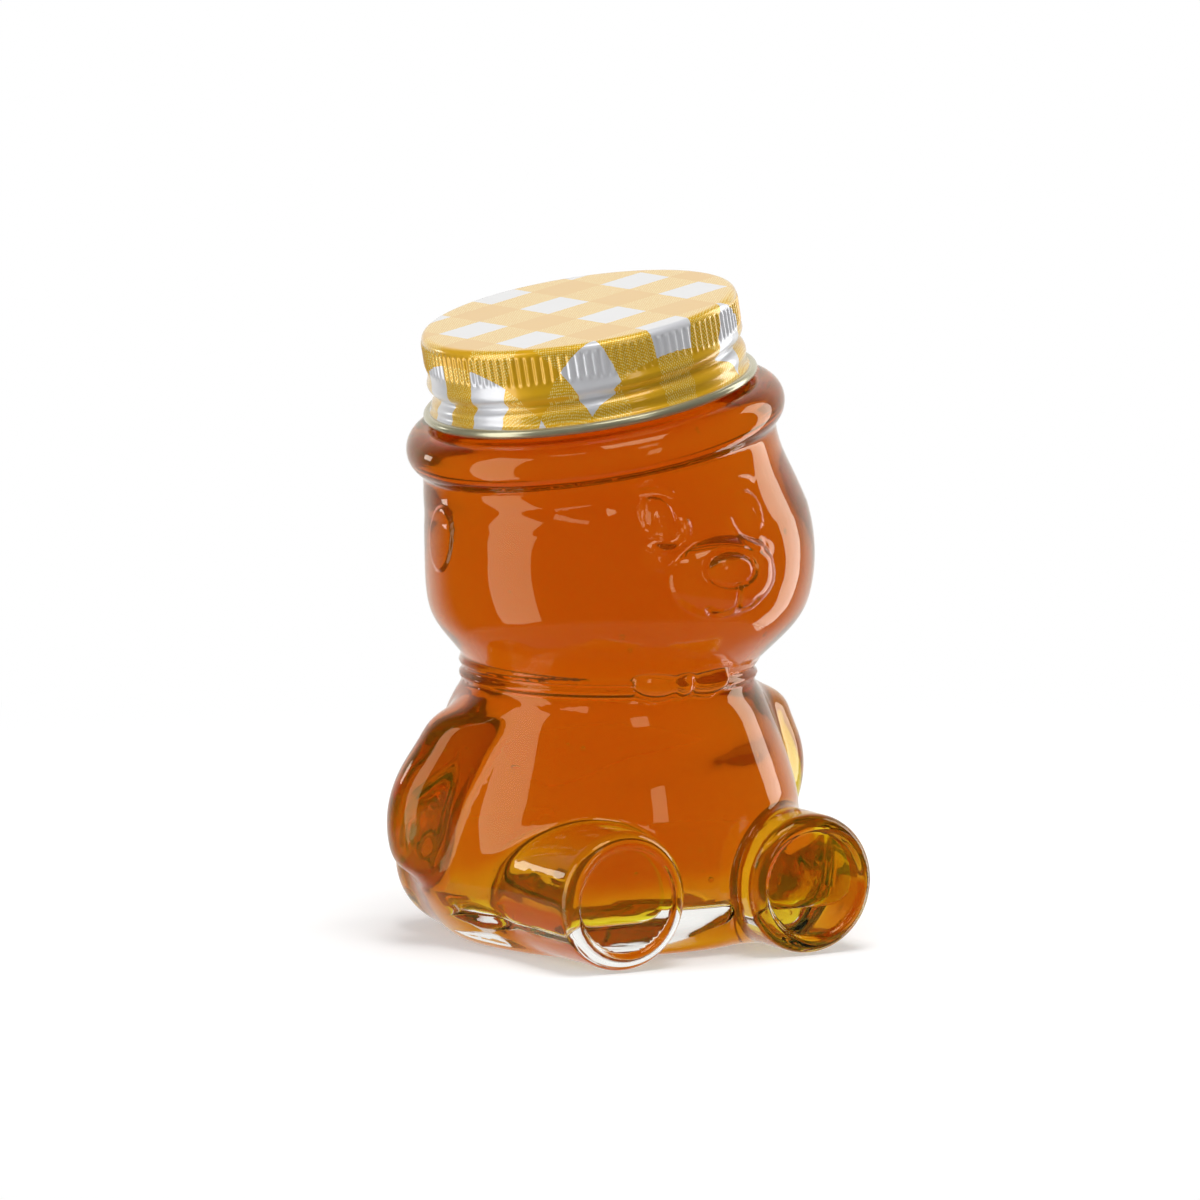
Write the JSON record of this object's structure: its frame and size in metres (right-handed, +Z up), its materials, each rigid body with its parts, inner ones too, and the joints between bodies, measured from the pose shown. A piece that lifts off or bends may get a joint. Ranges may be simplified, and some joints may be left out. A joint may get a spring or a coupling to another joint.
{
  "type": "honey bear bottle",
  "caption": "Seated teddy bear jar of clear moulded glass, filled with honey, with a tilted gingham tinplate screw lid as its hat.",
  "frame": {"origin": "centre of the box round the jar, at the surface it stands on", "axes": "+Z up, the bear faces -Y, its right hand is towards -X"},
  "size_m": [0.0932, 0.0871, 0.1316],
  "materials": {
    "clear_glass": "fire-polished clear soda-lime glass",
    "honey_amber": "clear deep amber liquid honey with a few fine bubbles",
    "printed_tinplate": "gloss lacquered yellow and white gingham print, pale enamel inside and on the rolled bead",
    "sealing_compound": "matt off-white plastisol"
  },
  "bodies": {
    "jar": {"glass_jar": "clear_glass", "honey": "honey_amber"},
    "seal": {"sealing_ring": "sealing_compound"},
    "lid": {"lid_shell": "printed_tinplate"}
  },
  "joints": [
    {"name": "lid_rise", "type": "slide", "parent": "jar", "child": "seal", "axis": [-0.1736, 0, 0.9848], "range_m": [0, 0.0204]},
    {"name": "lid_turn", "type": "hinge", "parent": "seal", "child": "lid", "pos_m": [0, 0.005, 0.0866], "axis": [-0.1736, 0, 0.9848], "range_deg": [0, 1440]}
  ],
  "couplings": [
    {"joint": "lid_rise", "follows": "lid_turn", "m_per_rad": 0.00080851}
  ]
}
